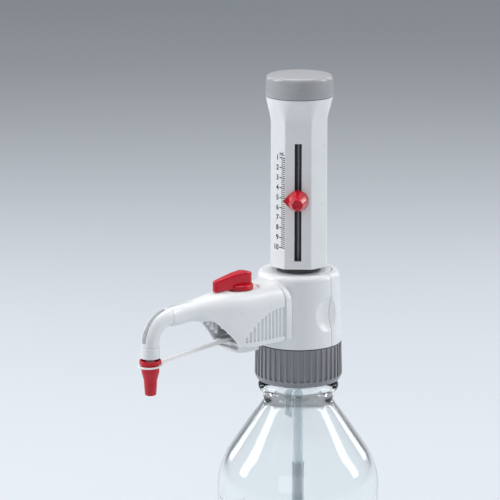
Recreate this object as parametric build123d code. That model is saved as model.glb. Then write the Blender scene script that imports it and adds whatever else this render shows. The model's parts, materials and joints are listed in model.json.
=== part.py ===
from build123d import *
import math
import os

# Bottle-top dispenser on a one litre laboratory bottle, in millimetres.
# The origin is on the bottle's axis at its base, +Z is up and the discharge arm points along -X.
# Heights are measured from the base; a name with LOW or HIGH is such a height.

# ---------------------------------------------------------------- driving sizes
BOTTLE_R = 50.5
BOTTLE_WALL = 3.0
BOTTLE_LIP = 223.0
BOTTLE_FOOT_FILLET = 9.0
SHOULDER_CORNER = 148.7
SHOULDER_ROUND = 44.0
NECK_CORNER = 190.2
NECK_R = 21.8
NECK_ROUND = 8.0
NECK_BORE_R = 15.0
BEAD_LOW = 197.2
BEAD_HIGH = 202.8
BEAD_R = 25.0
BEAD_ROUND = 2.6
LIP_ROUND = 1.2
SEAL_R = 21.3
SEAL_BORE_R = 15.2
SEAL_THICK = 1.2

THREAD_PITCH = 4.0
THREAD_ROOT_R = 20.3
THREAD_CREST_R = 22.2
THREAD_LOW = 207.0
THREAD_TURNS = 2.5
COLLAR_THREAD_ROOT_R = 23.2
COLLAR_THREAD_CREST_R = 21.2
COLLAR_THREAD_TURNS = 2.0
RIDGE_HALF_BASE = 1.0
RIDGE_HALF_PEAK = 0.5
RIDGE_BURIED = 0.4

COLLAR_LOW = 204.6
COLLAR_HIGH = 228.2
COLLAR_R = 26.8
COLLAR_FLARE_R = 27.15
COLLAR_BORE_R = 17.6
COLLAR_WEB_LOW = 226.3
COLLAR_RIBS = 42
RIB_DEPTH = 0.7
GROOVE_HALF = 1.35

BLOCK_LOW = 228.8
BLOCK_HIGH = 273.9
BLOCK_LOW_R = 26.5
BLOCK_HIGH_R = 25.3
BLOCK_ROUND = 3.4
BLOCK_CAVITY_R = 21.5
BLOCK_FLOOR = 231.6
BLOCK_ROOF = 270.0
BLOCK_OPENING_R = 12.3
COVER_SPLIT_R = 20.0
COVER_GAP = 0.6
COVER_PLANE = 3.2
DIMPLE_HEIGHT = 250.0
DIMPLE_DEPTH = 3.2
DIMPLE_SIZE = (15.0, 7.5, 14.0)
FLANGE_HALF = 17.5
FLANGE_LOW = 236.5
FLANGE_HIGH = 271.4
FLANGE_ROUND = 13.0
FLANGE_BACK = 22.0
WINDOW_HALF = 12.5
WINDOW_LOW = 239.0
WINDOW_HIGH = 266.5
WINDOW_ROUND = 9.0
WINDOW_BACK = 10.0

CORE_SPIGOT_R = 17.3
CORE_NOSE_R = 12.0
CORE_NOSE_LOW = 206.0
CORE_BODY_R = 15.0
CORE_TOP = 262.0
CORE_STEP = 242.0
CORE_HEAD_R = 17.0
CORE_HEAD_LOW = 258.0
RING_GROOVE_LOW = 224.2
RING_GROOVE_HIGH = 226.0
RING_GROOVE_R = 14.4
RING_R = 21.0
OUTLET_HEIGHT = 248.0
SOCKET_FLOOR = 251.0
RETURN_HEIGHT = 241.0
RETURN_X = -8.3
VENT_X = 8.3
VENT_HEIGHT = 236.0
CHANNEL_R = 1.5
VENT_BORE_R = 3.65
VENT_PLUG_R = 3.6
VENT_CAP_R = 4.2
RETURN_TUBE_R = 2.4
RETURN_TUBE_BORE_R = 1.5
RETURN_TUBE_LOW = 178.0
RETURN_TUBE_TOP = 212.0

BALL_R = 2.0
BALL_SEAT_GAP = 1.7
BALL_TRAVEL = 1.5
BALL_PORT_R = 1.4
CHAMBER_R = 2.5
INTAKE_SEAT = 207.0
INTAKE_BODY_R = 5.0
INTAKE_LOW = 203.2
INTAKE_HIGH = 215.8
INTAKE_BARB_R = 2.0
INTAKE_BARB_LOW = 196.5
INTAKE_BARB_BORE_R = 1.1
OUTLET_SEAT = 22.0
OUTLET_BODY_R = 4.6
OUTLET_BACK = 10.2

CYLINDER_BORE_R = 7.175
CYLINDER_R = 8.8
CYLINDER_LOW = 252.5
CYLINDER_HIGH = 353.0
PISTON_FIT = 0.05
PISTON_LOW = 253.0
PISTON_HIGH = 264.0
PISTON_R = 6.6
PISTON_GROOVE_R = 5.9
ROD_R = 4.0
ROD_NECK_R = 2.5
ROD_STUD_R = 3.0
ROD_FLANGE_R = 8.0
ROD_TOP = 384.0

HOUSING_LOW = 277.5
HOUSING_HIGH = 382.1
HOUSING_FLARE = 365.0
HOUSING_ACROSS = 34.0
HOUSING_CORNER = 9.0
HOUSING_BORE_R = 14.2
HOUSING_SHELF_LOW = 370.0
HOUSING_SHELF_HIGH = 373.0
HOUSING_EDGE_ROUND = 1.5
HOUSING_DRAFT = 0.9
CUP_R = 16.5
CAP_HIGH = 395.4
CAP_R = 20.75
CAP_WALL_R = 15.0
CAP_TOP_WALL = 2.4
CAP_SKIRT_R = 16.2
CAP_SKIRT_LOW = 377.0
CALIBRATION_R = 7.0
CALIBRATION_LOW = 376.0
CALIBRATION_HIGH = 380.5
CALIBRATION_FLUTES = 12

NUT_R = 13.6
NUT_INNER_R = 12.0
NUT_HIGH = 281.0
SLEEVE_R = 11.0
SLEEVE_BORE_R = 9.1
STOP_LOW = 357.4
STOP_HIGH = 361.0
STOP_R = 13.9
NOTCH_BACK_R = 12.1
NOTCH_WIDTH = 4.4
STRIP_WIDTH = 0.75
STRIP_LENGTH = 75.0
STRIP_HEIGHT = 319.7

FACE_ANGLE = 225.0
FACE_DISTANCE = HOUSING_ACROSS / 2
SLOT_LOW = 282.3
SLOT_HIGH = 355.3
SLOT_WIDTH = 4.3
POINTER_HEIGHT = 320.4
POINTER_R = 6.4
POINTER_REACH = 9.1
POINTER_THICK = 2.2
SHOE_HALF = 4.5
SHOE_R = 13.8
SHOE_BACK_R = 11.7
STUD_R = 1.7
RACK_PITCH = 1.24
RACK_ANGLE = 29.0
RACK_R = 13.3
RACK_WIDTH = 2.2
KNOB_LOW = 2.75
KNOB_HIGH = 14.6
KNOB_R = 6.3
KNOB_TIP_R = 3.3

ARM_BACK = 26.6
ARM_AXIS = 261.3
ARM_TUBE_R = 5.35
ARM_BEND_START = 105.3
ARM_BEND_R = 14.5
ARM_REACH = ARM_BEND_START + ARM_BEND_R
ARM_TIP = 245.4
ARM_WALL = 1.8
ARM_FLOOR = 236.0
ARM_BORE_R = 3.1
ARM_FLOOR_THICK = 1.8
GRIP_GROOVES = 11
GRIP_PITCH = 2.78
GRIP_START = 28.0
GRIP_HALF = 0.85
GRIP_DEPTH = 1.1
GRIP_LOW = 239.0
SLIT_HALF = 1.6
LEVER_AT = 49.0
LEVER_SEAT = 269.2
LEVER_SEAT_R = 12.3
LEVER_DISC_R = 8.4
LEVER_SEAT_ROOF = 1.9
LEVER_DISC_HIGH = 272.6
SPINDLE_R = 3.4
SPINDLE_LOW = 250.0
SPINDLE_HIGH = 272.0
SPINDLE_BORE_R = 1.2
BARREL_R = 6.0
BARREL_LOW = 243.0
BARREL_HIGH = 265.4
HOSE_R = 1.5
HOSE_BORE_R = 0.8
HOSE_SIDE = 9.4
WING_LOW = 270.6
WING_HIGH = 280.3
WING_TIP_HIGH = 277.0
WING_BACK = 40.6
WING_BACK_HALF = 4.2
WING_TIP = 69.8
WING_TIP_HALF = 1.8
WING_ROUND = 1.4

TUBE_R = 2.65
TUBE_BORE_R = 1.4
NOZZLE_LOW = 227.0
TIP_COLLAR_LOW = 238.5
TIP_COLLAR_R = 5.8
CLOSURE_HIGH = 237.4
CLOSURE_LOW = 215.8
CLOSURE_R = 5.4
CLOSURE_FLANGE_R = 6.6
CLOSURE_FLANGE_LOW = 235.0
RING_LOW = 233.9
RING_HIGH = 234.8
STRAP_RING_R = 7.4
STRAP_RING_BORE_R = 5.7
STRAP_WIDTH = 2.6
STRAP_THICK = 1.0
TAB_HALF = 7.0
TAB_LOW = 237.95
TAB_HIGH = 239.05

FILL_UPPER_R = 3.15
FILL_LOWER_R = 3.85
FILL_TOP = 203.0
FILL_JOINT = 149.0
FILL_BOTTOM = 8.0
FILL_UPPER_LOW = 70.0
FILL_BORE_R = 2.05
SLIDE_GAP = 0.3


# ---------------------------------------------------------------- helpers
def rod(radius, low, high, x=0.0, y=0.0):
    """Upright round bar between two heights."""
    return Pos(x, y, (low + high) / 2) * Cylinder(radius, high - low)


def tube(radius, bore, low, high, x=0.0, y=0.0):
    """Upright pipe between two heights."""
    return rod(radius, low, high, x, y) - rod(bore, low - 1, high + 1, x, y)


def arm_bar(radius, back, front, height, y=0.0):
    """Round bar along the arm, from one distance from the axis to another."""
    middle = -(back + front) / 2
    return Pos(middle, y, height) * Rot(0, 90, 0) * Cylinder(radius, abs(front - back))


def turned(*lines):
    """Solid of revolution about Z; the lines are drawn with x as radius and y as height."""
    outline = lines[0]
    for line in lines[1:]:
        outline += line
    return revolve(Plane.XZ * make_face(outline), Axis.Z)


def turned_points(*points):
    """Solid of revolution from straight segments."""
    return turned(Polyline(*points, close=True))


def box_between(x_range, y_range, z_range):
    """Box from its limits along each axis."""
    middle = [(pair[0] + pair[1]) / 2 for pair in (x_range, y_range, z_range)]
    size = [abs(pair[1] - pair[0]) for pair in (x_range, y_range, z_range)]
    return Pos(*middle) * Box(*size)


def face_plane(distance, height, angle=FACE_ANGLE):
    """Plane on the tower, facing out at an angle; its y axis is up."""
    turn = math.radians(angle)
    normal = (math.cos(turn), math.sin(turn), 0)
    right = (-math.sin(turn), math.cos(turn), 0)
    origin = (normal[0] * distance, normal[1] * distance, height)
    return Plane(origin=origin, x_dir=right, z_dir=normal)


def helical_ridge(root, crest, low, turns, outward):
    """Trapezoidal thread ridge; its wide side lies inside the wall it grows from."""
    side = 1 if outward else -1
    middle = (root + crest) / 2
    base = side * (root - middle) - RIDGE_BURIED
    peak = side * (crest - middle)
    path = Helix(THREAD_PITCH, THREAD_PITCH * turns, middle, center=(0, 0, low))
    plane = Plane(origin=path @ 0, x_dir=(side, 0, 0), z_dir=path % 0)
    corners = [
        (base, -RIDGE_HALF_BASE),
        (peak, -RIDGE_HALF_PEAK),
        (peak, RIDGE_HALF_PEAK),
        (base, RIDGE_HALF_BASE),
    ]
    return sweep(plane * make_face(Polyline(*corners, close=True)), path, is_frenet=True)


# ---------------------------------------------------------------- bottle
def bottle_solid():
    rise = NECK_CORNER - SHOULDER_CORNER
    run = BOTTLE_R - NECK_R
    slope = math.atan2(run, rise)
    outer = FilletPolyline(
        (0, 0),
        (BOTTLE_R, 0),
        (BOTTLE_R, SHOULDER_CORNER),
        (NECK_R, NECK_CORNER),
        (NECK_R, BEAD_LOW + 1),
        radius=(BOTTLE_FOOT_FILLET, SHOULDER_ROUND, NECK_ROUND),
    )
    body = turned(outer, Polyline((NECK_R, BEAD_LOW + 1), (0, BEAD_LOW + 1), (0, 0)))
    neck = rod(THREAD_ROOT_R, BEAD_LOW, BOTTLE_LIP)
    neck = fillet(neck.edges().group_by(Axis.Z)[-1], LIP_ROUND)
    bead = rod(BEAD_R, BEAD_LOW, BEAD_HIGH)
    bead = fillet(bead.edges().filter_by(GeomType.CIRCLE), BEAD_ROUND)
    inner_r = BOTTLE_R - BOTTLE_WALL
    inner_corner = SHOULDER_CORNER - BOTTLE_WALL * math.tan(slope / 2)
    inner_neck = inner_corner + (inner_r - NECK_BORE_R) * rise / run
    hollow_line = FilletPolyline(
        (0, BOTTLE_WALL + 1),
        (inner_r, BOTTLE_WALL + 1),
        (inner_r, inner_corner),
        (NECK_BORE_R, inner_neck),
        (NECK_BORE_R, BOTTLE_LIP + 1),
        radius=(BOTTLE_FOOT_FILLET - BOTTLE_WALL, SHOULDER_ROUND - BOTTLE_WALL, NECK_ROUND + 4),
    )
    top = Polyline((NECK_BORE_R, BOTTLE_LIP + 1), (0, BOTTLE_LIP + 1), (0, BOTTLE_WALL + 1))
    ridge = helical_ridge(THREAD_ROOT_R, THREAD_CREST_R, THREAD_LOW, THREAD_TURNS, True)
    return body + bead + neck + ridge - turned(hollow_line, top)


def bottle_seal_solid():
    return tube(SEAL_R, SEAL_BORE_R, BOTTLE_LIP, BOTTLE_LIP + SEAL_THICK)


# ---------------------------------------------------------------- screw collar
def screw_collar_solid():
    outline = FilletPolyline(
        (COLLAR_THREAD_ROOT_R, COLLAR_LOW),
        (COLLAR_FLARE_R - 1.6, COLLAR_LOW),
        (COLLAR_FLARE_R, COLLAR_LOW + 3.2),
        (COLLAR_R - 0.1, COLLAR_HIGH),
        (COLLAR_BORE_R, COLLAR_HIGH),
        radius=(0.6, 2.0, 0.5),
    )
    inside = Polyline(
        (COLLAR_BORE_R, COLLAR_HIGH),
        (COLLAR_BORE_R, COLLAR_WEB_LOW),
        (COLLAR_THREAD_ROOT_R, COLLAR_WEB_LOW),
        (COLLAR_THREAD_ROOT_R, COLLAR_LOW),
    )
    collar = turned(outline, inside)
    groove_low = COLLAR_LOW + 3.4
    groove_high = COLLAR_HIGH + 1
    straight_low = groove_low + GROOVE_HALF
    middle = (straight_low + groove_high) / 2
    shape = Pos(0, middle) * Rectangle(2 * GROOVE_HALF, groove_high - straight_low)
    shape += Pos(0, straight_low) * Circle(GROOVE_HALF)
    grooves = []
    for index in range(COLLAR_RIBS):
        plane = face_plane(COLLAR_R - RIB_DEPTH, 0, 360 * index / COLLAR_RIBS)
        grooves.append(extrude(plane * shape, 3))
    collar = collar - grooves
    low = THREAD_LOW + THREAD_PITCH / 2
    turns = COLLAR_THREAD_TURNS
    return collar + helical_ridge(COLLAR_THREAD_ROOT_R, COLLAR_THREAD_CREST_R, low, turns, False)


# ---------------------------------------------------------------- valve block
def block_envelope():
    outline = FilletPolyline(
        (0, BLOCK_LOW),
        (BLOCK_LOW_R, BLOCK_LOW),
        (BLOCK_HIGH_R, BLOCK_HIGH),
        (0, BLOCK_HIGH),
        radius=(0.4, BLOCK_ROUND),
    )
    return turned(outline, Line((0, BLOCK_HIGH), (0, BLOCK_LOW)))


def arch_face(half_width, low, high, shoulder, distance):
    """Upright arch across the arm, flat at the bottom with round shoulders."""
    middle = (low + high) / 2
    shape = Pos(0, middle) * Rectangle(2 * half_width, high - low)
    shape = fillet(shape.vertices().group_by(Axis.Y)[-1], shoulder)
    plane = Plane(origin=(-distance, 0, 0), x_dir=(0, -1, 0), z_dir=(-1, 0, 0))
    return plane * shape


def finger_dimples():
    """Two scoops where the fingers grip the rear cover, one each side."""
    scoops = []
    for side in (-1, 1):
        ball = scale(Sphere(1), DIMPLE_SIZE)
        middle = BLOCK_LOW_R - DIMPLE_DEPTH + DIMPLE_SIZE[1]
        scoops.append(Pos(0, side * middle, DIMPLE_HEIGHT) * ball)
    return scoops


def block_shell():
    cavity = rod(BLOCK_CAVITY_R, BLOCK_FLOOR, BLOCK_ROOF)
    shell = block_envelope() - cavity - rod(CORE_SPIGOT_R + 0.2, BLOCK_LOW - 1, BLOCK_FLOOR + 1)
    shell -= rod(BLOCK_OPENING_R, BLOCK_ROOF - 1, BLOCK_HIGH + 1)
    return shell - finger_dimples()


def valve_block_solid():
    flange_front = ARM_BACK - 0.3
    arch = arch_face(FLANGE_HALF, FLANGE_LOW, FLANGE_HIGH, FLANGE_ROUND, FLANGE_BACK)
    flange = extrude(arch, flange_front - FLANGE_BACK)
    opening = arch_face(WINDOW_HALF, WINDOW_LOW, WINDOW_HIGH, WINDOW_ROUND, WINDOW_BACK)
    window = extrude(opening, flange_front - WINDOW_BACK + 1)
    block = block_shell() + (flange - rod(BLOCK_CAVITY_R, BLOCK_FLOOR, BLOCK_ROOF)) - window
    behind = box_between((COVER_PLANE, 40.0), (-40.0, 40.0), (BLOCK_LOW - 1, BLOCK_HIGH + 1))
    return block - (behind - rod(COVER_SPLIT_R, BLOCK_LOW - 2, BLOCK_HIGH + 2))


def rear_cover_solid():
    front = COVER_PLANE + COVER_GAP
    behind = box_between((front, 40.0), (-40.0, 40.0), (BLOCK_LOW - 1, BLOCK_HIGH + 1))
    split_r = COVER_SPLIT_R + COVER_GAP
    return block_shell() & (behind - rod(split_r, BLOCK_LOW - 2, BLOCK_HIGH + 2))


def valve_core_solid():
    core = turned_points(
        (0, CORE_NOSE_LOW),
        (CORE_NOSE_R, CORE_NOSE_LOW),
        (CORE_NOSE_R, RING_GROOVE_LOW),
        (RING_GROOVE_R, RING_GROOVE_LOW),
        (RING_GROOVE_R, RING_GROOVE_HIGH),
        (CORE_SPIGOT_R, RING_GROOVE_HIGH),
        (CORE_SPIGOT_R, CORE_STEP),
        (CORE_BODY_R, CORE_STEP),
        (CORE_BODY_R, CORE_HEAD_LOW),
        (CORE_HEAD_R, CORE_HEAD_LOW),
        (CORE_HEAD_R, CORE_TOP),
        (0, CORE_TOP),
    )
    core -= rod(INTAKE_BODY_R + 0.05, CORE_NOSE_LOW - 1, INTAKE_HIGH + 0.2)
    core -= rod(CHANNEL_R, INTAKE_HIGH - 1, SOCKET_FLOOR + 1)
    core -= rod(CYLINDER_R + 0.2, SOCKET_FLOOR, CORE_TOP + 1)
    core -= arm_bar(CHANNEL_R, 0, 12, OUTLET_HEIGHT)
    core -= arm_bar(OUTLET_BODY_R + 0.05, OUTLET_BACK - 0.2, 20, OUTLET_HEIGHT)
    core -= rod(CHANNEL_R, RETURN_TUBE_TOP, RETURN_HEIGHT, RETURN_X)
    core -= rod(RETURN_TUBE_R + 0.05, CORE_NOSE_LOW - 1, RETURN_TUBE_TOP + 0.5, RETURN_X)
    core -= arm_bar(HOSE_R + 0.05, -RETURN_X, 20, RETURN_HEIGHT)
    core -= rod(CHANNEL_R, CORE_NOSE_LOW - 1, VENT_HEIGHT, VENT_X)
    core -= arm_bar(CHANNEL_R, -VENT_X, -20, VENT_HEIGHT)
    return core - arm_bar(VENT_BORE_R, -13, -20, VENT_HEIGHT)


def retaining_ring_solid():
    return tube(RING_R, RING_GROOVE_R + 0.05, RING_GROOVE_LOW, RING_GROOVE_HIGH)


def intake_valve_solid():
    chamber_high = INTAKE_SEAT + 2 * BALL_SEAT_GAP + BALL_TRAVEL
    barb = rod(INTAKE_BARB_R, INTAKE_BARB_LOW, INTAKE_LOW + 1)
    body = rod(INTAKE_BODY_R, INTAKE_LOW, INTAKE_HIGH) + barb
    body -= rod(INTAKE_BARB_BORE_R, INTAKE_BARB_LOW - 1, INTAKE_LOW + 2)
    body -= rod(BALL_PORT_R, INTAKE_LOW + 1, INTAKE_HIGH + 1)
    return body - rod(CHAMBER_R, INTAKE_SEAT, chamber_high)


def intake_ball_solid():
    return Pos(0, 0, INTAKE_SEAT + BALL_SEAT_GAP) * Sphere(BALL_R)


def outlet_valve_solid():
    chamber_front = OUTLET_SEAT + 2 * BALL_SEAT_GAP + BALL_TRAVEL
    front = LEVER_AT - BARREL_R - 0.3
    body = arm_bar(OUTLET_BODY_R, OUTLET_BACK, front, OUTLET_HEIGHT)
    body -= arm_bar(BALL_PORT_R, OUTLET_BACK - 1, front + 1, OUTLET_HEIGHT)
    return body - arm_bar(CHAMBER_R, OUTLET_SEAT, chamber_front, OUTLET_HEIGHT)


def outlet_ball_solid():
    return Pos(-(OUTLET_SEAT + BALL_SEAT_GAP), 0, OUTLET_HEIGHT) * Sphere(BALL_R)


def vent_filter_solid():
    plug = arm_bar(VENT_PLUG_R, -13.2, -18.4, VENT_HEIGHT)
    return plug + arm_bar(VENT_CAP_R, -17.6, -19.4, VENT_HEIGHT)


def return_tube_solid():
    pipe = tube(RETURN_TUBE_R, RETURN_TUBE_BORE_R, RETURN_TUBE_LOW, RETURN_TUBE_TOP, RETURN_X)
    slant = Pos(RETURN_X, 0, RETURN_TUBE_LOW) * Rot(0, 40, 0) * Box(12, 8, 5)
    return pipe - slant


# ---------------------------------------------------------------- filling tube
def filling_tube_upper_solid():
    return tube(FILL_UPPER_R, FILL_BORE_R, FILL_UPPER_LOW, FILL_TOP)


def filling_tube_lower_solid():
    pipe = tube(FILL_LOWER_R, FILL_UPPER_R + SLIDE_GAP, FILL_BOTTOM, FILL_JOINT)
    slant = Pos(0, 0, FILL_BOTTOM) * Rot(0, 35, 0) * Box(14, 10, 5)
    return pipe - slant


# ---------------------------------------------------------------- cylinder, piston and housing
def cylinder_seal_solid():
    return tube(CYLINDER_R, 7.0, SOCKET_FLOOR, SOCKET_FLOOR + 1.4)


def glass_cylinder_solid():
    return tube(CYLINDER_R, CYLINDER_BORE_R, CYLINDER_LOW, CYLINDER_HIGH)


def cylinder_nut_solid():
    low = CORE_TOP + 0.1
    collar_low = BLOCK_HIGH + 0.1
    nut = tube(NUT_INNER_R, SLEEVE_BORE_R, low, collar_low + 1)
    nut += tube(NUT_R, SLEEVE_BORE_R, collar_low, NUT_HIGH)
    return chamfer(nut.edges().group_by(Axis.Z)[-1], 0.4)


def rack_notch():
    middle = (STOP_R + NOTCH_BACK_R + 1) / 2
    depth = STOP_R - NOTCH_BACK_R + 1
    turn = Rot(0, 0, FACE_ANGLE + RACK_ANGLE)
    return turn * Pos(middle, 0, STOP_LOW) * Box(depth, NOTCH_WIDTH, 20)


def guide_sleeve_solid():
    sleeve = tube(SLEEVE_R, SLEEVE_BORE_R, NUT_HIGH + 0.1, STOP_HIGH)
    sleeve += tube(STOP_R, SLEEVE_BORE_R, STOP_LOW, STOP_HIGH)
    outline = Rectangle(STRIP_WIDTH + 0.15, STRIP_LENGTH + 0.2)
    groove = extrude(face_plane(SLEEVE_R - 0.4, STRIP_HEIGHT) * outline, 1.0)
    return sleeve - rack_notch() - groove


def guide_strip_solid():
    plane = face_plane(SLEEVE_R - 0.36, STRIP_HEIGHT)
    return extrude(plane * Rectangle(STRIP_WIDTH, STRIP_LENGTH), 0.6)


def housing_section(height, across, corner, rounding):
    """Square with cut corners, its broad sides on the diagonals."""
    shape = Rot(0, 0, 45) * Rectangle(across, across)
    shape = chamfer(shape.vertices(), corner)
    shape = fillet(shape.vertices(), rounding)
    return Pos(0, 0, height) * shape


def housing_slot():
    height = (SLOT_LOW + SLOT_HIGH) / 2
    shape = Rectangle(SLOT_WIDTH, SLOT_HIGH - SLOT_LOW)
    return extrude(face_plane(10.0, height) * shape, 12)


def housing_sleeve_solid():
    edge = HOUSING_EDGE_ROUND
    skirt_high = HOUSING_LOW + 2.5
    straight = loft(
        [
            housing_section(HOUSING_LOW, HOUSING_ACROSS + HOUSING_DRAFT, HOUSING_CORNER, edge),
            housing_section(skirt_high, HOUSING_ACROSS + HOUSING_DRAFT / 3, HOUSING_CORNER, edge),
            housing_section(HOUSING_FLARE, HOUSING_ACROSS, HOUSING_CORNER, edge),
        ],
        ruled=True,
    )
    top_across = 2 * CAP_R - 0.5
    flare = loft(
        [
            housing_section(HOUSING_FLARE, HOUSING_ACROSS, HOUSING_CORNER, edge),
            housing_section(HOUSING_FLARE + 3.0, HOUSING_ACROSS + 0.15, HOUSING_CORNER, 1.9),
            housing_section(HOUSING_FLARE + 9.5, HOUSING_ACROSS + 2.9, 10.0, 8.0),
            housing_section(HOUSING_HIGH, top_across, top_across / (2 + math.sqrt(2)), 20.0),
        ]
    )
    housing = straight + flare
    housing -= rod(HOUSING_BORE_R, HOUSING_LOW - 1, HOUSING_SHELF_LOW)
    housing -= rod(ROD_R + 0.3, HOUSING_SHELF_LOW - 1, HOUSING_HIGH + 1)
    housing -= rod(CUP_R, HOUSING_SHELF_HIGH, HOUSING_HIGH + 1)
    return housing - housing_slot()


def volume_rack_solid():
    low = SLOT_LOW + 1.5
    teeth = int((SLOT_HIGH - SLOT_LOW - 4) / RACK_PITCH)
    high = low + teeth * RACK_PITCH
    strip = Pos(RACK_R, 0, (low + high) / 2) * Box(2.0, RACK_WIDTH, high - low)
    cuts = []
    for index in range(1, teeth):
        place = Pos(RACK_R, -RACK_WIDTH / 2, low + index * RACK_PITCH)
        cuts.append(place * Rot(45, 0, 0) * Box(2.2, 0.6, 0.6))
    strip = Rot(0, 0, FACE_ANGLE + RACK_ANGLE) * (strip - cuts)
    return strip & rod(HOUSING_BORE_R - 0.02, low - 1, high + 1)


def top_cap_solid():
    low = HOUSING_HIGH + 0.25
    outer = FilletPolyline(
        (CAP_WALL_R, low),
        (CAP_R - 0.25, low),
        (CAP_R, low + 2.2),
        (CAP_R - 0.45, CAP_HIGH),
        (0, CAP_HIGH),
        radius=(0.5, 1.2, 2.6),
    )
    ceiling = CAP_HIGH - CAP_TOP_WALL
    inner = Polyline((0, CAP_HIGH), (0, ceiling), (CAP_WALL_R, ceiling), (CAP_WALL_R, low))
    skirt = tube(CAP_SKIRT_R, CAP_WALL_R, CAP_SKIRT_LOW, low + 1)
    return turned(outer, inner) + skirt


def calibration_nut_solid():
    nut = rod(CALIBRATION_R, CALIBRATION_LOW, CALIBRATION_HIGH)
    low = CALIBRATION_LOW - 1
    high = CALIBRATION_HIGH + 1
    out = CALIBRATION_R + 0.3
    flutes = []
    for index in range(CALIBRATION_FLUTES):
        turn = 2 * math.pi * index / CALIBRATION_FLUTES
        flutes.append(rod(0.8, low, high, out * math.cos(turn), out * math.sin(turn)))
    return nut - rod(ROD_STUD_R + 0.05, low, high) - flutes


def piston_rod_solid():
    bar = rod(ROD_R, PISTON_HIGH, HOUSING_SHELF_HIGH + 1)
    flange = rod(ROD_FLANGE_R, HOUSING_SHELF_HIGH, HOUSING_SHELF_HIGH + 2.6)
    stud = rod(ROD_STUD_R, HOUSING_SHELF_HIGH + 2, ROD_TOP)
    neck = rod(ROD_NECK_R, PISTON_LOW + 3.0, PISTON_HIGH + 1)
    return bar + flange + stud + neck


def piston_head_solid():
    head = rod(PISTON_R, PISTON_LOW, PISTON_HIGH)
    head -= tube(PISTON_R + 1, PISTON_GROOVE_R, PISTON_LOW + 2.5, PISTON_HIGH - 2.0)
    return head - rod(ROD_NECK_R + 0.05, PISTON_LOW + 3.0, PISTON_HIGH + 1)


def piston_seal_solid():
    low = PISTON_LOW + 2.6
    high = PISTON_HIGH - 2.1
    return tube(CYLINDER_BORE_R - PISTON_FIT, PISTON_GROOVE_R + 0.05, low, high)


# ---------------------------------------------------------------- volume pointer
def volume_pointer_solid():
    half_angle = math.acos(POINTER_R / POINTER_REACH)
    touch = (-POINTER_R * math.cos(half_angle), POINTER_R * math.sin(half_angle))
    beak = Polyline((-POINTER_REACH, 0), touch, (0, 0), (touch[0], -touch[1]), close=True)
    shape = Circle(POINTER_R) + make_face(beak)
    plate = extrude(face_plane(FACE_DISTANCE + 0.4, POINTER_HEIGHT) * shape, POINTER_THICK)
    hole = extrude(face_plane(FACE_DISTANCE, POINTER_HEIGHT) * Circle(STUD_R + 0.05), 4)
    return plate - hole


def pointer_shoe_solid():
    low = POINTER_HEIGHT - SHOE_HALF
    high = POINTER_HEIGHT + SHOE_HALF
    ring = tube(SHOE_R, SHOE_BACK_R, low, high)
    wedge = extrude(face_plane(8.0, POINTER_HEIGHT) * Rectangle(10.0, 20.0), 8)
    neck = extrude(face_plane(13.0, POINTER_HEIGHT) * Rectangle(3.8, 8.0), 4.3)
    stud = extrude(face_plane(15.0, POINTER_HEIGHT) * Circle(STUD_R), 13)
    return (ring & wedge) + neck + stud


def clamp_knob_solid():
    base = FACE_DISTANCE + KNOB_LOW
    front = FACE_DISTANCE + KNOB_HIGH
    outline = FilletPolyline(
        (0, base),
        (KNOB_R, base),
        (KNOB_R - 0.6, base + 3.0),
        (KNOB_TIP_R, front),
        (KNOB_TIP_R - 0.9, front),
        (2.0, front - 0.5),
        (0, front - 0.5),
        radius=(0.5, 4.0, 0.6, 0.3, 0.1),
    )
    outline += Line((0, front - 0.5), (0, base))
    knob = revolve(make_face(outline), Axis.Y)
    knob -= Pos(0, FACE_DISTANCE + 6.0, 0) * Rot(90, 0, 0) * Cylinder(STUD_R + 0.05, 10.6)
    plane = face_plane(0, POINTER_HEIGHT)
    return plane * Rot(90, 0, 0) * knob


# ---------------------------------------------------------------- discharge arm
def shell_section(distance, half_width, high, low, shoulder, keel):
    """Upright arm section: flat top and bottom with round shoulders and a round keel."""
    shape = Pos(0, (low + high) / 2) * Rectangle(2 * half_width, high - low)
    shape = fillet(shape.vertices().group_by(Axis.Y)[-1], shoulder)
    shape = fillet(shape.vertices().group_by(Axis.Y)[0], keel)
    plane = Plane(origin=(-distance, 0, 0), x_dir=(0, -1, 0), z_dir=(-1, 0, 0))
    return plane * shape


# distance from the axis, half width, top, bottom, shoulder radius, keel radius
ARM_SECTIONS = [
    (ARM_BACK, 16.9, 271.3, 236.4, 12.6, 0.8),
    (40.0, 16.3, 270.7, 235.9, 12.4, 0.8),
    (54.0, 14.8, 270.3, 235.6, 11.6, 0.9),
    (64.0, 12.8, 270.0, 239.0, 10.4, 2.0),
    (74.0, 10.0, 269.2, 248.0, 8.6, 4.0),
    (84.0, 7.6, 268.0, 254.8, 6.5, 5.4),
    (95.0, 6.0, 267.3, 255.5, 5.75, 5.6),
    (ARM_BEND_START, ARM_TUBE_R + 0.2, ARM_AXIS + 5.6, ARM_AXIS - 5.6, 5.45, 5.45),
]


def arm_path():
    """Centre line of the arm's bend, from the straight run to the tip."""
    corner = 1 - math.sqrt(0.5)
    start = (-ARM_BEND_START, 0, ARM_AXIS)
    middle = (
        -(ARM_BEND_START + ARM_BEND_R * math.sqrt(0.5)),
        0,
        ARM_AXIS - ARM_BEND_R * corner,
    )
    end = (-ARM_REACH, 0, ARM_AXIS - ARM_BEND_R)
    return ThreePointArc(start, middle, end)


def bent_bar(radius, back, tip):
    """Round bar along the arm, round its bend and down to the tip."""
    straight = arm_bar(radius, back, ARM_BEND_START, ARM_AXIS)
    start = Plane(origin=(-ARM_BEND_START, 0, ARM_AXIS), z_dir=(-1, 0, 0))
    bend = sweep(start * Circle(radius), arm_path())
    return straight + bend + rod(radius, tip, ARM_AXIS - ARM_BEND_R, -ARM_REACH)


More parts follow.
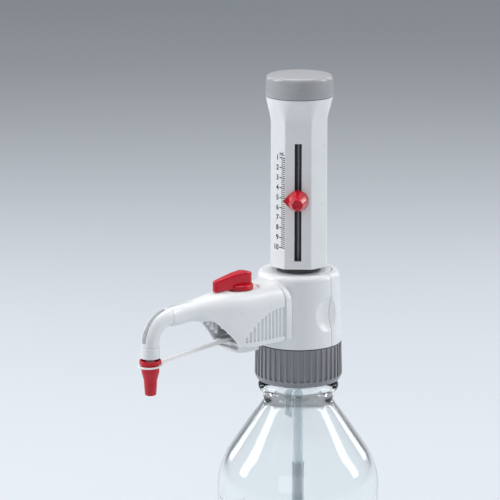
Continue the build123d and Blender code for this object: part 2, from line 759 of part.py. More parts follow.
def arm_cavity():
    sections = []
    for distance, half, high, low, shoulder, keel in ARM_SECTIONS[:6]:
        inner_low = low - 4 if low < 240 else low + ARM_WALL
        inner_round = max(shoulder - ARM_WALL, 3.0)
        inner_keel = max(keel - ARM_WALL, 0.5)
        start = distance - 2 if distance == ARM_BACK else distance
        inner_half = half - ARM_WALL
        inner_high = high - ARM_WALL
        section = (start, inner_half, inner_high, inner_low, inner_round, inner_keel)
        sections.append(shell_section(*section))
    seat_roof = rod(LEVER_SEAT_R + 1.2, LEVER_SEAT - LEVER_SEAT_ROOF, 275.0, -LEVER_AT)
    return loft(sections) - seat_roof


def arm_arch_cut():
    """Opening under the arm, seen from the side as one rising arch."""
    rise = Spline(
        (-58.6, ARM_FLOOR - 1),
        (-61.4, 239.5),
        (-68.0, 247.0),
        (-76.0, 254.2),
        (-82.5, 255.6),
        tangents=((-0.5, 1), (-1, 0)),
    )
    rest = Polyline((-82.5, 255.6), (-82.5, 230.0), (-58.6, 230.0), (-58.6, ARM_FLOOR - 1))
    face = Plane.XZ * make_face(rise + rest)
    return extrude(face, 30, both=True)


def arm_grooves():
    """Eleven grip grooves on each side; their tops follow a falling curve."""
    cuts = []
    for index in range(GRIP_GROOVES):
        distance = GRIP_START + GRIP_PITCH * index
        share = index / (GRIP_GROOVES - 1)
        top = 257.4 - 15.0 * share ** 2.2
        half = 16.9 - 2.3 * share ** 2
        x_range = (-distance - GRIP_HALF, -distance + GRIP_HALF)
        for side in (-1, 1):
            y_range = (side * (half - GRIP_DEPTH), side * 20.0)
            cuts.append(box_between(x_range, y_range, (GRIP_LOW, top)))
    return cuts


def arm_slit():
    """Narrow window on the outside of the bend."""
    centre = (-ARM_BEND_START, ARM_AXIS - ARM_BEND_R)
    turn = Pos(centre[0], 0, centre[1]) * Rot(90, 0, 0)
    outside = turn * Cylinder(ARM_BEND_R + 9, 2 * SLIT_HALF)
    inside = turn * Cylinder(ARM_BEND_R + 2.8, 6)
    quarter = box_between((-140.0, centre[0] - 3.0), (-3.0, 3.0), (centre[1] + 0.8, 290.0))
    return (outside - inside) & quarter


def arm_shell_solid():
    shell = loft([shell_section(*section) for section in ARM_SECTIONS])
    shell += bent_bar(ARM_TUBE_R, ARM_BEND_START - 4.0, ARM_TIP)
    shell -= arm_cavity()
    shell -= bent_bar(ARM_BORE_R, 80.0, ARM_TIP - 1)
    shell -= arm_arch_cut()
    shell -= rod(LEVER_SEAT_R, LEVER_SEAT, 280.0, -LEVER_AT)
    shell -= rod(SPINDLE_R + 0.4, 255.0, 280.0, -LEVER_AT)
    return shell - arm_grooves() - arm_slit()


def arm_floor_solid():
    """Plate that closes the arm underneath, with a lip that holds the strap."""
    back = ARM_BACK + 0.2
    outline = Polyline((-back, -14.8), (-58.0, -11.9), (-58.0, 11.9), (-back, 14.8), close=True)
    upper = extrude(Pos(0, 0, ARM_FLOOR) * make_face(outline), ARM_FLOOR_THICK)
    lip = box_between((-59.5, -44.0), (-12.0, 12.0), (232.6, ARM_FLOOR))
    lip = fillet(lip.edges().filter_by(Axis.Z).group_by(Axis.X)[0], 6.0)
    slot = box_between((-70.0, -50.0), (-9.0, 9.0), (234.0, ARM_FLOOR - 0.1))
    return upper + lip - slot


def discharge_tube_solid():
    back = LEVER_AT + BARREL_R + 0.2
    return bent_bar(TUBE_R, back, NOZZLE_LOW) - bent_bar(TUBE_BORE_R, back - 1, NOZZLE_LOW - 1)


def tip_collar_solid():
    collar = tube(TIP_COLLAR_R, TUBE_R + 0.05, TIP_COLLAR_LOW, ARM_TIP - 0.2, -ARM_REACH)
    rims = collar.edges().filter_by(GeomType.CIRCLE).filter_by(lambda edge: edge.radius > 5)
    return fillet(rims, 0.6)


def switch_valve_solid():
    body = rod(BARREL_R, BARREL_LOW, BARREL_HIGH, -LEVER_AT)
    body -= rod(SPINDLE_R + 0.05, BARREL_LOW + 2, BARREL_HIGH + 1, -LEVER_AT)
    body -= arm_bar(BALL_PORT_R, LEVER_AT - 8, LEVER_AT, OUTLET_HEIGHT)
    body -= arm_bar(BALL_PORT_R, LEVER_AT, LEVER_AT + 8, ARM_AXIS)
    port = Pos(-LEVER_AT, -5, ARM_AXIS) * Rot(90, 0, 0) * Cylinder(BALL_PORT_R, 10)
    return body - port


def valve_spindle_solid():
    spindle = rod(SPINDLE_R, SPINDLE_LOW, SPINDLE_HIGH, -LEVER_AT)
    spindle -= rod(SPINDLE_BORE_R, SPINDLE_LOW - 1, ARM_AXIS, -LEVER_AT)
    return spindle - arm_bar(SPINDLE_BORE_R, LEVER_AT, LEVER_AT + 8, ARM_AXIS)


def return_hose_solid():
    points = [
        (-LEVER_AT, -BARREL_R - 0.2, ARM_AXIS),
        (-LEVER_AT, -HOSE_SIDE, ARM_AXIS),
        (-40.0, -HOSE_SIDE, ARM_AXIS),
        (-33.0, -6.0, RETURN_HEIGHT),
        (-25.0, 0, RETURN_HEIGHT),
        (-12.0, 0, RETURN_HEIGHT),
    ]
    path = FilletPolyline(*points, radius=(2.6, 5.0, 5.0, 5.0))
    start = Plane(origin=points[0], z_dir=(0, -1, 0))
    section = Circle(HOSE_R) - Circle(HOSE_BORE_R)
    return sweep(start * section, path, transition=Transition.RIGHT)


def lever_wing():
    """Blade of the lever: a tapering plan and a rising side outline, rounded along the top."""
    plan = Polyline(
        (-WING_BACK, -WING_BACK_HALF),
        (-WING_BACK, WING_BACK_HALF),
        (-WING_TIP, WING_TIP_HALF),
        (-WING_TIP, -WING_TIP_HALF),
        close=True,
    )
    plan = make_face(plan)
    plan = fillet(plan.vertices().group_by(Axis.X)[-1], WING_BACK_HALF - 0.7)
    plan = fillet(plan.vertices().group_by(Axis.X)[0], WING_TIP_HALF - 0.2)
    side = FilletPolyline(
        (-WING_BACK - 0.5, WING_LOW),
        (-WING_BACK + 0.5, WING_HIGH - 1.4),
        (-WING_BACK - 6.0, WING_HIGH),
        (-WING_BACK - 14.0, WING_HIGH - 0.6),
        (-WING_TIP - 1.0, WING_TIP_HIGH),
        radius=(2.6, 6.0, 18.0),
    )
    under = Polyline((-WING_TIP - 1.0, WING_TIP_HIGH), (-WING_TIP - 1.0, WING_LOW))
    under += Line((-WING_TIP - 1.0, WING_LOW), (-WING_BACK - 0.5, WING_LOW))
    outline = Plane.XZ * make_face(side + under)
    wing = extrude(outline, 10, both=True) & extrude(Pos(0, 0, 260) * plan, 40)
    top_edges = wing.edges().filter_by(lambda edge: edge.center().Z > WING_TIP_HIGH - 1.5)
    return wing, top_edges


def valve_lever_solid():
    disc = rod(LEVER_DISC_R, LEVER_SEAT + 0.4, LEVER_DISC_HIGH, -LEVER_AT)
    disc = fillet(disc.edges().group_by(Axis.Z)[-1], 1.0)
    wing, top_edges = lever_wing()
    wing = fillet(top_edges, WING_ROUND)
    return disc + wing - rod(SPINDLE_R, LEVER_SEAT - 1, SPINDLE_HIGH + 0.05, -LEVER_AT)


# ---------------------------------------------------------------- closure cap and strap
def closure_cap_solid():
    outer = FilletPolyline(
        (0, CLOSURE_LOW),
        (3.4, CLOSURE_LOW),
        (4.1, 225.3),
        (CLOSURE_R, 230.0),
        (CLOSURE_R, CLOSURE_FLANGE_LOW),
        (CLOSURE_FLANGE_R, CLOSURE_FLANGE_LOW),
        (CLOSURE_FLANGE_R, CLOSURE_HIGH),
        (5.7, CLOSURE_HIGH),
        radius=(0.8, 5.0, 3.0, 0.3, 0.6, 0.6),
    )
    inner = Polyline(
        (5.7, CLOSURE_HIGH),
        (4.9, 233.6),
        (TUBE_R + SLIDE_GAP, 232.4),
        (TUBE_R + SLIDE_GAP, NOZZLE_LOW - 0.4),
        (0, NOZZLE_LOW - 0.4),
        (0, CLOSURE_LOW),
    )
    return Pos(-ARM_REACH, 0, 0) * turned(outer, inner)


def strap_ring_solid():
    ring = tube(STRAP_RING_R, STRAP_RING_BORE_R, RING_LOW, RING_HIGH, -ARM_REACH)
    rims = ring.edges().filter_by(GeomType.CIRCLE).filter_by(lambda edge: edge.radius > 7)
    return fillet(rims, 0.3)


def closure_strap_solid():
    start = (-(ARM_REACH - STRAP_RING_R - 0.4), 0, 235.2)
    end = (-63.0, 0, 238.8)
    middle = ((start[0] + end[0]) / 2, 0, 237.9)
    path = ThreePointArc(start, middle, end)
    plane = Plane(origin=start, x_dir=(0, 1, 0), z_dir=path % 0)
    band = sweep(plane * Rectangle(STRAP_WIDTH, STRAP_THICK), path)
    tab = box_between((-64.0, -51.0), (-TAB_HALF, TAB_HALF), (TAB_LOW, TAB_HIGH))
    tab = fillet(tab.edges().filter_by(Axis.Z).group_by(Axis.X)[0], 2.5)
    return band + tab


# ---------------------------------------------------------------- all pieces
PIECES = {
    "reservoir_bottle": bottle_solid,
    "bottle_seal": bottle_seal_solid,
    "screw_collar": screw_collar_solid,
    "valve_block": valve_block_solid,
    "rear_cover": rear_cover_solid,
    "valve_core": valve_core_solid,
    "retaining_ring": retaining_ring_solid,
    "intake_valve": intake_valve_solid,
    "intake_ball": intake_ball_solid,
    "outlet_valve": outlet_valve_solid,
    "outlet_ball": outlet_ball_solid,
    "vent_filter": vent_filter_solid,
    "return_tube": return_tube_solid,
    "filling_tube_upper": filling_tube_upper_solid,
    "filling_tube_lower": filling_tube_lower_solid,
    "cylinder_seal": cylinder_seal_solid,
    "glass_cylinder": glass_cylinder_solid,
    "cylinder_nut": cylinder_nut_solid,
    "guide_sleeve": guide_sleeve_solid,
    "guide_strip": guide_strip_solid,
    "housing_sleeve": housing_sleeve_solid,
    "volume_rack": volume_rack_solid,
    "top_cap": top_cap_solid,
    "calibration_nut": calibration_nut_solid,
    "piston_rod": piston_rod_solid,
    "piston_head": piston_head_solid,
    "piston_seal": piston_seal_solid,
    "volume_pointer": volume_pointer_solid,
    "pointer_shoe": pointer_shoe_solid,
    "clamp_knob": clamp_knob_solid,
    "arm_shell": arm_shell_solid,
    "arm_floor": arm_floor_solid,
    "discharge_tube": discharge_tube_solid,
    "tip_collar": tip_collar_solid,
    "switch_valve": switch_valve_solid,
    "valve_spindle": valve_spindle_solid,
    "return_hose": return_hose_solid,
    "valve_lever": valve_lever_solid,
    "closure_cap": closure_cap_solid,
    "strap_ring": strap_ring_solid,
    "closure_strap": closure_strap_solid,
}

os.makedirs("parts", exist_ok=True)
for name, make in PIECES.items():
    piece = make()
    piece.label = name
    export_step(piece, f"parts/{name}.step")
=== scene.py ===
import bmesh
import bpy
import json
import math
from mathutils import Matrix, Vector
from mathutils.bvhtree import BVHTree


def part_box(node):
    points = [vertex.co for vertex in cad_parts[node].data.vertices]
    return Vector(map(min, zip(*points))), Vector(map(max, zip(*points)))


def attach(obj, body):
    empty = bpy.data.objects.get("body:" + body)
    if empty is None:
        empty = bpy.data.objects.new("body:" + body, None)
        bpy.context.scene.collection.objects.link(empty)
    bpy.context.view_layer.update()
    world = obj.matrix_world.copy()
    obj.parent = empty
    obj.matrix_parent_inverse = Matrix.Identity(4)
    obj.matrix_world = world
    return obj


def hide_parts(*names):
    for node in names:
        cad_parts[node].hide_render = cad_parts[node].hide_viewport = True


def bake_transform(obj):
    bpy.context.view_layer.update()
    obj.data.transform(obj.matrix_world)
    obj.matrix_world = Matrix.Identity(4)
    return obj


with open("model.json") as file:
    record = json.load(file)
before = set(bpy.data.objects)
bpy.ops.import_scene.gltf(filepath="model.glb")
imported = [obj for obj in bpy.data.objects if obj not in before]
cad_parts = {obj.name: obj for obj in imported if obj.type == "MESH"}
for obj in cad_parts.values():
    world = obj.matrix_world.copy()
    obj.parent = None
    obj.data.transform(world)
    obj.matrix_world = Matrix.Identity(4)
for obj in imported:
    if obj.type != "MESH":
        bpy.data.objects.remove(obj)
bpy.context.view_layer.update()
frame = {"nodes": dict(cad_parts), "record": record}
NODES = frame["nodes"]
MM = 0.001

# Noise textures stay mostly between these two values.
NOISE_LOW = 0.3
NOISE_HIGH = 0.7


# ---------------------------------------------------------------- small helpers
def link_new(name, data):
    """A new object in the scene."""
    piece = bpy.data.objects.new(name, data)
    bpy.context.scene.collection.objects.link(piece)
    return piece


def riding_piece(name, mesh, body, material):
    """A new piece that rides on a CAD body."""
    piece = link_new(name, mesh)
    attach(piece, body)
    set_material(piece, material)
    return piece


def set_material(piece, material):
    piece.data.materials.clear()
    piece.data.materials.append(material)


def skin_of(node):
    """A node's surface, to cast rays at."""
    return BVHTree.FromObject(NODES[node], bpy.context.evaluated_depsgraph_get())


def look_along(piece, direction):
    piece.rotation_mode = "QUATERNION"
    piece.rotation_quaternion = direction.to_track_quat("-Z", "Y")


# ---------------------------------------------------------------- material building
class Shader:
    """A principled material with a few node helpers; constants go on the shader's own sockets."""

    def __init__(self, name, **constants):
        self.material = bpy.data.materials.new(name)
        self.material.use_nodes = True
        self.tree = self.material.node_tree
        self.bsdf = self.tree.nodes["Principled BSDF"]
        for socket, value in constants.items():
            self.bsdf.inputs[socket.replace("_", " ")].default_value = value
        self.coordinates = self.tree.nodes.new("ShaderNodeTexCoord")

    def link(self, source, target):
        self.tree.links.new(source, target)

    def noise(self, scale, detail=3.0, roughness=0.5, stretch=(1, 1, 1)):
        """Noise in object space; scale is in features per metre."""
        mapping = self.tree.nodes.new("ShaderNodeMapping")
        mapping.inputs["Scale"].default_value = stretch
        self.link(self.coordinates.outputs["Object"], mapping.inputs["Vector"])
        texture = self.tree.nodes.new("ShaderNodeTexNoise")
        texture.inputs["Scale"].default_value = scale
        texture.inputs["Detail"].default_value = detail
        texture.inputs["Roughness"].default_value = roughness
        self.link(mapping.outputs["Vector"], texture.inputs["Vector"])
        return texture.outputs["Fac"]

    def colour(self, factor, dark, light):
        """Base colour between two tones over a noise."""
        ramp = self.tree.nodes.new("ShaderNodeValToRGB")
        stops = ((NOISE_LOW, dark), (NOISE_HIGH, light))
        for element, (position, tone) in zip(ramp.color_ramp.elements, stops):
            element.position = position
            element.color = (*tone, 1.0)
        self.link(factor, ramp.inputs["Fac"])
        self.link(ramp.outputs["Color"], self.bsdf.inputs["Base Color"])

    def roughness(self, factor, low, high):
        """Roughness between two values over a noise."""
        node = self.tree.nodes.new("ShaderNodeMapRange")
        node.inputs["From Min"].default_value = NOISE_LOW
        node.inputs["From Max"].default_value = NOISE_HIGH
        node.inputs["To Min"].default_value = low
        node.inputs["To Max"].default_value = high
        self.link(factor, node.inputs["Value"])
        self.link(node.outputs["Result"], self.bsdf.inputs["Roughness"])

    def bump(self, height, distance, strength, after=None):
        """Bump of a height in metres times the texture's swing."""
        node = self.tree.nodes.new("ShaderNodeBump")
        node.inputs["Distance"].default_value = distance
        node.inputs["Strength"].default_value = strength
        self.link(height, node.inputs["Height"])
        if after is not None:
            self.link(after, node.inputs["Normal"])
        self.link(node.outputs["Normal"], self.bsdf.inputs["Normal"])
        return node.outputs["Normal"]


def moulded(name, dark, light, rough, grain=0.00002, coat=0.0):
    """Injection-moulded plastic: faint cloudy tone, uneven gloss and a fine eroded grain."""
    shader = Shader(name)
    shader.bsdf.inputs["Coat Weight"].default_value = coat
    shader.bsdf.inputs["Coat Roughness"].default_value = 0.12
    shader.colour(shader.noise(scale=38.0, detail=4.0, roughness=0.55), dark, light)
    shader.roughness(shader.noise(scale=160.0, detail=5.0, roughness=0.6), *rough)
    broad = shader.bump(shader.noise(scale=55.0, detail=2.0), distance=grain * 2.0, strength=0.5)
    fine = shader.noise(scale=2600.0, detail=2.0)
    shader.bump(fine, distance=grain, strength=0.6, after=broad)
    return shader.material


def ink(name, dark, light):
    """Printed ink or enamel: a fine mottle and a slightly uneven film."""
    shader = Shader(name)
    shader.colour(shader.noise(scale=900.0), dark, light)
    shader.roughness(shader.noise(scale=500.0), 0.35, 0.5)
    shader.bump(shader.noise(scale=2500.0, detail=2.0), distance=0.00001, strength=0.5)
    return shader.material


def body_white():
    return moulded("moulded_white", (0.80, 0.82, 0.83), (0.84, 0.86, 0.87), (0.26, 0.38), coat=0.15)


def collar_grey():
    return moulded("moulded_collar_grey", (0.235, 0.24, 0.255), (0.265, 0.27, 0.285), (0.3, 0.42))


def cap_grey():
    return moulded("moulded_cap_grey", (0.36, 0.365, 0.375), (0.40, 0.405, 0.415), (0.26, 0.36), coat=0.15)


def dark_plastic():
    return moulded("moulded_dark", (0.05, 0.051, 0.054), (0.066, 0.068, 0.072), (0.35, 0.5))


def core_white():
    return moulded("machined_core_white", (0.50, 0.50, 0.48), (0.60, 0.60, 0.58), (0.35, 0.5))


def strip_grey():
    return moulded("moulded_strip_grey", (0.36, 0.36, 0.37), (0.44, 0.44, 0.45), (0.35, 0.5))


def soft_white():
    return moulded("flexible_white", (0.88, 0.88, 0.87), (0.91, 0.91, 0.90), (0.36, 0.46))


def ball_white():
    return moulded("polished_ceramic", (0.82, 0.82, 0.80), (0.88, 0.88, 0.86), (0.05, 0.12), grain=0.000002)


def signal_red():
    return moulded("glossy_red", (0.54, 0.0006, 0.014), (0.58, 0.001, 0.018), (0.14, 0.2), grain=0.000005)


def clear_glass():
    """Borosilicate with a slow waviness. Its index is below the real 1.47, for lighter rims."""
    shader = Shader("borosilicate_glass", Transmission_Weight=1.0, IOR=1.38)
    shader.colour(shader.noise(scale=14.0, detail=2.0), (0.95, 0.975, 0.975), (0.975, 0.99, 0.99))
    shader.roughness(shader.noise(scale=120.0), 0.0, 0.02)
    wave = shader.noise(scale=26.0, detail=1.5, stretch=(1, 1, 0.35))
    shader.bump(wave, distance=0.00025, strength=0.4)
    return shader.material


def clear_tube():
    """Milky fluoropolymer tubing with faint drawn lines. Its index is set low, for paler tubes."""
    shader = Shader("milky_tubing", Transmission_Weight=0.82, IOR=1.22)
    tone = shader.noise(scale=160.0, detail=2.0, stretch=(1, 1, 0.02))
    shader.colour(tone, (0.90, 0.95, 0.98), (0.95, 0.98, 1.0))
    shader.roughness(shader.noise(scale=200.0, stretch=(1, 1, 0.02)), 0.08, 0.14)
    lines = shader.noise(scale=1500.0, detail=1.0, stretch=(1, 1, 0.01))
    shader.bump(lines, distance=0.000008, strength=0.4)
    return shader.material


MATERIALS = {
    "body_white": body_white(),
    "collar_grey": collar_grey(),
    "cap_grey": cap_grey(),
    "dark_plastic": dark_plastic(),
    "core_white": core_white(),
    "strip_grey": strip_grey(),
    "soft_white": soft_white(),
    "ball_white": ball_white(),
    "signal_red": signal_red(),
    "clear_glass": clear_glass(),
    "clear_tube": clear_tube(),
}
INK_BLACK = ink("scale_ink", (0.008, 0.008, 0.010), (0.02, 0.021, 0.023))
ENAMEL_WHITE = ink("bottle_enamel", (0.74, 0.75, 0.74), (0.84, 0.84, 0.83))


# ---------------------------------------------------------------- finish on the CAD nodes
BEVEL_WIDTHS = {"valve_block": 0.25 * MM, "rear_cover": 0.2 * MM, "arm_floor": 0.25 * MM}
BEVEL_ANGLE = math.radians(50)
CREASE_ANGLE = math.radians(35)
WELD_DISTANCE = 1e-6


def finish_node(node, slot):
    """Smooth shading with crisp edges, and the slot's material."""
    piece = NODES[node]
    set_material(piece, MATERIALS[slot])
    weld = piece.modifiers.new("weld", "WELD")
    weld.merge_threshold = WELD_DISTANCE
    if node in BEVEL_WIDTHS:
        bevel = piece.modifiers.new("bevel", "BEVEL")
        bevel.width = BEVEL_WIDTHS[node]
        bevel.segments = 2
        bevel.limit_method = "ANGLE"
        bevel.angle_limit = BEVEL_ANGLE
    split = piece.modifiers.new("split", "EDGE_SPLIT")
    split.split_angle = CREASE_ANGLE
    piece.data.shade_smooth()


for part in frame["record"]["subparts"]:
    finish_node(part["node"], part["material_slot"])


# ---------------------------------------------------------------- mesh building
CAPITAL_SHARE = 0.7     # a capital's height over the font's size
BOLD_SHARE = 0.035      # how far strokes are thickened, over a capital's height
LETTER_DEPTH = 0.00003


def slab(builder, corner_low, corner_high):
    """Adds a thin box between two corners, in metres."""
    x0, y0, z0 = corner_low
    x1, y1, z1 = corner_high
    corners = [(x, y, z) for x in (x0, x1) for y in (y0, y1) for z in (z0, z1)]
    verts = [builder.verts.new(corner) for corner in corners]
    for face in ((0, 1, 3, 2), (4, 6, 7, 5), (0, 4, 5, 1), (2, 3, 7, 6), (0, 2, 6, 4), (1, 5, 7, 3)):
        builder.faces.new([verts[index] for index in face])


def text_mesh(text, height, align):
    """Flat lettering in its own plane as a mesh, height being that of a capital."""
    curve = bpy.data.curves.new("lettering", "FONT")
    curve.body = text
    curve.size = height / CAPITAL_SHARE
    curve.align_x = align
    curve.extrude = LETTER_DEPTH
    curve.offset = height * BOLD_SHARE
    holder = link_new("lettering", curve)
    bpy.context.view_layer.update()
    mesh = bpy.data.meshes.new_from_object(holder)
    bpy.data.objects.remove(holder)
    bpy.data.curves.remove(curve)
    return mesh


def add_text(builder, text, height, align, place):
    """Adds lettering to a builder; place maps (right, up, out) in metres to a point."""
    mesh = text_mesh(text, height, align)
    for vertex in mesh.vertices:
        vertex.co = place(*vertex.co)
    builder.from_mesh(mesh)
    bpy.data.meshes.remove(mesh)


def finish_mesh(builder, name):
    mesh = bpy.data.meshes.new(name)
    bmesh.ops.recalc_face_normals(builder, faces=builder.faces)
    builder.to_mesh(mesh)
    builder.free()
    return mesh


# ---------------------------------------------------------------- volume scale on the tower
SCALE_ZERO = 352.6 * MM         # height of the zero mark
SCALE_STEP = 6.2 * MM           # one millilitre
SCALE_MINORS = 5
SCALE_FULL = 10
LONG_TICK = (4.6 * MM, 0.32 * MM)       # length and half thickness
SHORT_TICK = (3.0 * MM, 0.26 * MM)
EDGE_GAP = 0.1 * MM             # the ticks start this far outside the facet's edge
TICK_SUNK = 0.04 * MM
TICK_DEPTH = 0.1 * MM
TEXT_SUNK = 0.02 * MM
FACET_FLAT = 0.1 * MM           # how flat a facet counts as one
FACET_BAND = (1.5 * MM, 4 * MM)         # heights above the skirt where the facet is measured
PROBE_INSET = 4 * MM            # how far in from the facet's edge its surface is probed
NUMERAL_HEIGHT = 3.1 * MM
NUMERAL_END = 5.3 * MM
NUMERAL_DROP = 1.5 * MM
UNIT_HEIGHT = 2.4 * MM
UNIT_END = 0.4 * MM
UNIT_RISE = 1.4 * MM


def facet_half_width():
    """Half width of the tower's facet that faces -X, just above its skirt."""
    points = [vertex.co for vertex in NODES["housing_sleeve"].data.vertices]
    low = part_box("housing_sleeve")[0].z
    band = [point for point in points if low + FACET_BAND[0] < point.z < low + FACET_BAND[1]]
    out = min(point.x for point in band)
    return max(point.y for point in band if point.x < out + FACET_FLAT)


def volume_scale():
    """Ticks every fifth of a millilitre beside the slot facet, with a number at each whole one."""
    skin = skin_of("housing_sleeve")
    right = -facet_half_width() - EDGE_GAP
    builder = bmesh.new()

    def surface(height):
        return skin.ray_cast(Vector((-1.0, right + PROBE_INSET, height)), Vector((1, 0, 0)))[0].x

    for index in range(SCALE_MINORS * (SCALE_FULL - 1) + 1):
        height = SCALE_ZERO - SCALE_STEP * (1 + index / SCALE_MINORS)
        length, thick = LONG_TICK if index % SCALE_MINORS == 0 else SHORT_TICK
        front = surface(height) - TICK_SUNK
        low_corner = (front, right, height - thick)
        slab(builder, low_corner, (front + TICK_DEPTH, right + length, height + thick))

    def print_text(text, size, offset, height):
        front = surface(height) - TEXT_SUNK
        add_text(
            builder, text, size, "RIGHT",
            lambda x, y, out: (front - out, offset - x, height + y),
        )

    for volume in range(1, SCALE_FULL + 1):
        height = SCALE_ZERO - SCALE_STEP * volume
        print_text(str(volume), NUMERAL_HEIGHT, right + NUMERAL_END, height - NUMERAL_DROP)
    print_text("mL", UNIT_HEIGHT, right + UNIT_END, SCALE_ZERO - SCALE_STEP + UNIT_RISE)
    riding_piece("volume_scale", finish_mesh(builder, "volume_scale"), "piston", INK_BLACK)


# ---------------------------------------------------------------- graduations on the bottle
PRINT_PITCH = 0.1405            # millimetres of height per millilitre
PRINT_ZERO = 2.6                # height of the zero level, in millimetres
PRINT_OUT = 0.04 * MM
PRINT_HALF_THICK = 0.3 * MM
PRINT_HEIGHT = 4.4 * MM
BAND_FIRST = 136.0              # azimuths, in degrees
BAND_LAST = 175.0
BAND_STEP = 2
NUMBER_START = 178.0
UNIT_START = 180.0
UNIT_LEVEL = 133.5 * MM


def bottle_print():
    """White enamel graduations round part of the bottle, every hundred millilitres."""
    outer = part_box("reservoir_bottle")[1].y + PRINT_OUT
    per_degree = outer * math.pi / 180
    builder = bmesh.new()

    def on_wall(azimuth, height, out):
        angle = math.radians(azimuth)
        radius = outer + out
        return radius * math.cos(angle), radius * math.sin(angle), height

    def band(height):
        steps = round((BAND_LAST - BAND_FIRST) / BAND_STEP)
        rows = []
        for index in range(steps + 1):
            azimuth = BAND_FIRST + (BAND_LAST - BAND_FIRST) * index / steps
            for level in (height - PRINT_HALF_THICK, height + PRINT_HALF_THICK):
                rows.append(builder.verts.new(on_wall(azimuth, level, 0)))
        for index in range(steps):
            a, b, c, d = rows[2 * index:2 * index + 4]
            builder.faces.new((a, c, d, b))

    def lettering(text, start, base):
        add_text(
            builder, text, PRINT_HEIGHT, "LEFT",
            lambda x, y, out: on_wall(start + x / per_degree, base + y, out),
        )

    for volume in range(100, 1000, 100):
        height = (volume * PRINT_PITCH + PRINT_ZERO) * MM
        band(height)
        lettering(str(volume), NUMBER_START, height - PRINT_HEIGHT / 2)
    lettering("ml", UNIT_START, UNIT_LEVEL)
    riding_piece("bottle_print", finish_mesh(builder, "bottle_print"), "bottle", ENAMEL_WHITE)


# ---------------------------------------------------------------- closure strap
RING_DROP = 0.4 * MM            # the ring sits this far under its stand-in's middle
RING_WIDTH = 1.7 * MM
RING_HALF_THICK = 0.45 * MM
RING_TILT = math.radians(-4.0)
RING_ROUND = 0.45               # corner inset over the half thickness
RING_STEPS = 64
TAB_UNDER = 0.4 * MM
TAB_LENGTH = 10.0 * MM
BAND_OVERLAP = 0.6 * MM         # how far the band's end runs into the ring
BAND_RISE = 0.5 * MM
BAND_BOW = 0.15 * MM
BAND_HALF_WIDTH = 0.6 * MM
BAND_HALF_THICK = 1.05 * MM
BAND_STEPS = 28


def ribbon(builder, path, half_width, half_thick):
    """A flat band along points in the XZ plane, closed at both ends."""
    rows = []
    for index, point in enumerate(path):
        before = path[max(index - 1, 0)]
        after = path[min(index + 1, len(path) - 1)]
        run = (after - before).normalized()
        out = Vector((-run.z, 0, run.x)) * half_thick
        side = Vector((0, half_width, 0))
        corners = (side + out, side - out, -side - out, -side + out)
        rows.append([builder.verts.new(point + corner) for corner in corners])
    for first, second in zip(rows, rows[1:]):
        for corner in range(4):
            follow = (corner + 1) % 4
            builder.faces.new((first[corner], first[follow], second[follow], second[corner]))
    builder.faces.new(rows[0][::-1])
    builder.faces.new(rows[-1])


def tilted_ring(builder, centre, bore, outer):
    """Flat ring with bevelled edges, tilted about the Y direction."""
    turn = Matrix.Rotation(RING_TILT, 3, "Y")
    half = RING_HALF_THICK
    inset = half * RING_ROUND
    section = (
        (bore + inset, half), (outer - inset, half), (outer, half - inset), (outer, inset - half),
        (outer - inset, -half), (bore + inset, -half), (bore, inset - half), (bore, half - inset),
    )
    rows = []
    for step in range(RING_STEPS):
        angle = 2 * math.pi * step / RING_STEPS
        row = []
        for radius, height in section:
            point = Vector((radius * math.cos(angle), radius * math.sin(angle), height))
            row.append(builder.verts.new(centre + turn @ point))
        rows.append(row)
    for step, first in enumerate(rows):
        second = rows[(step + 1) % RING_STEPS]
        for corner in range(len(section)):
            follow = (corner + 1) % len(section)
            builder.faces.new((first[corner], second[corner], second[follow], first[follow]))


def closure_strap():
    """One flexible strap: a tab under the arm, a thin band and a ring round the red cap."""
    ring_low, ring_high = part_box("strap_ring")
    tab_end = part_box("closure_strap")[1]
    centre = (ring_low + ring_high) / 2
    centre.z -= RING_DROP
    outer = (ring_high.x - ring_low.x) / 2
    builder = bmesh.new()
    tilted_ring(builder, centre, outer - RING_WIDTH, outer)
    tab_top = tab_end.z - TAB_UNDER
    start = Vector((tab_end.x, 0, tab_top))
    bend = Vector((tab_end.x - TAB_LENGTH, 0, tab_top))
    end = Vector((centre.x + outer - BAND_OVERLAP, 0, centre.z + BAND_RISE))
    bow = Vector((0, 0, BAND_BOW))
    path = [start, bend]
    for step in range(1, BAND_STEPS + 1):
        share = step / BAND_STEPS
        path.append(bend.lerp(end, share) + bow * math.sin(math.pi * share))
    ribbon(builder, path, BAND_HALF_WIDTH, BAND_HALF_THICK)
    piece = link_new("closure_strap_band", finish_mesh(builder, "closure_strap_band"))
    set_material(piece, MATERIALS["soft_white"])
    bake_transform(piece)
    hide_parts("closure_strap", "strap_ring")


# ---------------------------------------------------------------- details on the arm
LINE_FIRST = -86.0 * MM         # the parting line runs between these places along X
LINE_LAST = -107.0 * MM
LINE_STEPS = 30
LINE_HALF = 0.12 * MM           # half width at its start
LINE_GROWTH = 0.16 * MM         # how much the half width grows to its end
LINE_OUT = 0.03 * MM
RIBS = ((0.4, 10.6, 4.0), (4.2, 9.8, 7.0), (8.4, 8.6, 10.8))    # distance ahead, wall, lower end, in mm
RIB_DEPTH = 3.4 * MM
RIB_THICK = 0.9 * MM
RIB_TOP = 20.0 * MM


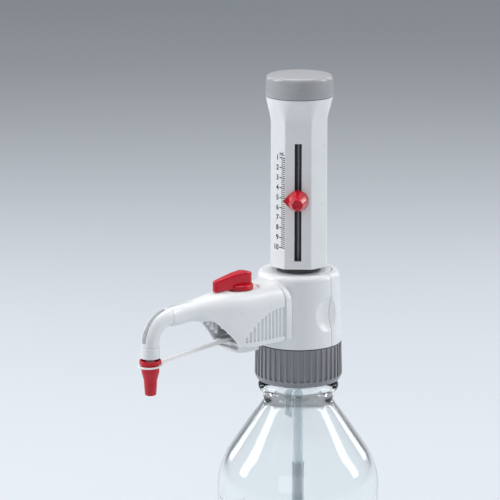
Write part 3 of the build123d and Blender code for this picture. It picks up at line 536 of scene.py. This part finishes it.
def arm_parting_line():
    """Thin dark line along the top of the arm, from its middle to the bend."""
    skin = skin_of("arm_shell")
    builder = bmesh.new()
    rows = []
    for step in range(LINE_STEPS + 1):
        share = step / LINE_STEPS
        x = LINE_FIRST + (LINE_LAST - LINE_FIRST) * share
        half = LINE_HALF + LINE_GROWTH * share
        height = skin.ray_cast(Vector((x, 0, 1.0)), Vector((0, 0, -1)))[0].z + LINE_OUT
        rows.append([builder.verts.new((x, side * half, height)) for side in (-1, 1)])
    for before, after in zip(rows, rows[1:]):
        builder.faces.new((before[0], after[0], after[1], before[1]))
    riding_piece("arm_parting_line", finish_mesh(builder, "arm_parting_line"), "head", INK_BLACK)


def arm_inner_ribs():
    """Stiffening ribs on the walls inside the arm, seen through the opening under it."""
    floor_low, floor_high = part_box("arm_floor")
    builder = bmesh.new()
    for ahead, wall, low in RIBS:
        back = floor_low.x - ahead * MM
        outer = wall * MM
        for side in (-1, 1):
            near, far = sorted((side * (outer - RIB_DEPTH), side * outer))
            corner = (back - RIB_THICK, near, floor_high.z + low * MM)
            slab(builder, corner, (back, far, floor_high.z + RIB_TOP))
    mesh = finish_mesh(builder, "arm_inner_ribs")
    piece = riding_piece("arm_inner_ribs", mesh, "head", MATERIALS["body_white"])


volume_scale()
bottle_print()
arm_inner_ribs()
closure_strap()
arm_parting_line()


# ---------------------------------------------------------------- camera
CAMERA_HEADING = math.radians(42.0)
CAMERA_PITCH = math.radians(12.8)
CAMERA_PLACE = (-1115.0 * MM, -1193.4 * MM, 656.8 * MM)
CAMERA_LENS = 195.6
AHEAD = Vector((math.sin(CAMERA_HEADING), math.cos(CAMERA_HEADING), 0))
RIGHTWARD = Vector((math.cos(CAMERA_HEADING), -math.sin(CAMERA_HEADING), 0))


def make_camera():
    """Long lens, a little above the object, looking down at it."""
    camera = bpy.data.cameras.new("camera")
    camera.lens = CAMERA_LENS
    camera.sensor_width = 36.0
    camera.clip_end = 50.0
    piece = link_new("camera", camera)
    piece.location = CAMERA_PLACE
    look_along(piece, AHEAD * math.cos(CAMERA_PITCH) - Vector((0, 0, math.sin(CAMERA_PITCH))))
    bpy.context.scene.camera = piece


# ---------------------------------------------------------------- studio
FLOOR_HALF = 14.0
AIM_POINT = Vector((0, 0, 0.28))
WORLD_TONE = (0.86, 0.9, 0.95, 1)
WORLD_STRENGTH = 0.36
# Each light: metres right of the tower, above the floor and away from the camera, then size and watts.
LIGHTS = {
    "left_panel": (-1.5, 1.15, 0.1, (0.4, 1.5), 17),
    "right_panel": (1.5, 1.1, 0.15, (0.34, 1.5), 13),
    "top_panel": (0.0, 1.9, 0.3, (1.4, 1.4), 18),
    "left_rim": (-1.15, 0.95, 1.25, (0.3, 1.4), 4.5),
    "right_rim": (1.15, 0.95, 1.25, (0.3, 1.4), 4.5),
    "front_fill": (-0.4, 1.0, -2.2, (1.6, 1.2), 7),
}


def make_floor():
    mesh = bpy.data.meshes.new("studio_floor")
    half = FLOOR_HALF
    corners = [(-half, -half, 0), (half, -half, 0), (half, half, 0), (-half, half, 0)]
    mesh.from_pydata(corners, [], [(0, 1, 2, 3)])
    floor = link_new("studio_floor", mesh)
    shader = Shader("pale_floor", Specular_IOR_Level=0.2)
    shader.colour(shader.noise(scale=1.2, detail=2.0), (0.60, 0.63, 0.67), (0.62, 0.65, 0.69))
    shader.roughness(shader.noise(scale=30.0), 0.75, 0.85)
    set_material(floor, shader.material)


def make_light(name, side, height, away, size, power):
    """Soft panel placed in the camera's own directions, aimed at the tower."""
    light = bpy.data.lights.new(name, "AREA")
    light.shape = "RECTANGLE"
    light.size, light.size_y = size
    light.energy = power
    lamp = link_new(name, light)
    lamp.location = RIGHTWARD * side + AHEAD * away + Vector((0, 0, height))
    look_along(lamp, AIM_POINT - lamp.location)


def make_world():
    world = bpy.data.worlds.new("studio")
    world.use_nodes = True
    background = world.node_tree.nodes["Background"]
    background.inputs["Color"].default_value = WORLD_TONE
    background.inputs["Strength"].default_value = WORLD_STRENGTH
    bpy.context.scene.world = world
    bpy.context.scene.view_settings.view_transform = "Standard"


make_camera()
make_floor()
for light_name, settings in LIGHTS.items():
    make_light(light_name, *settings)
make_world()
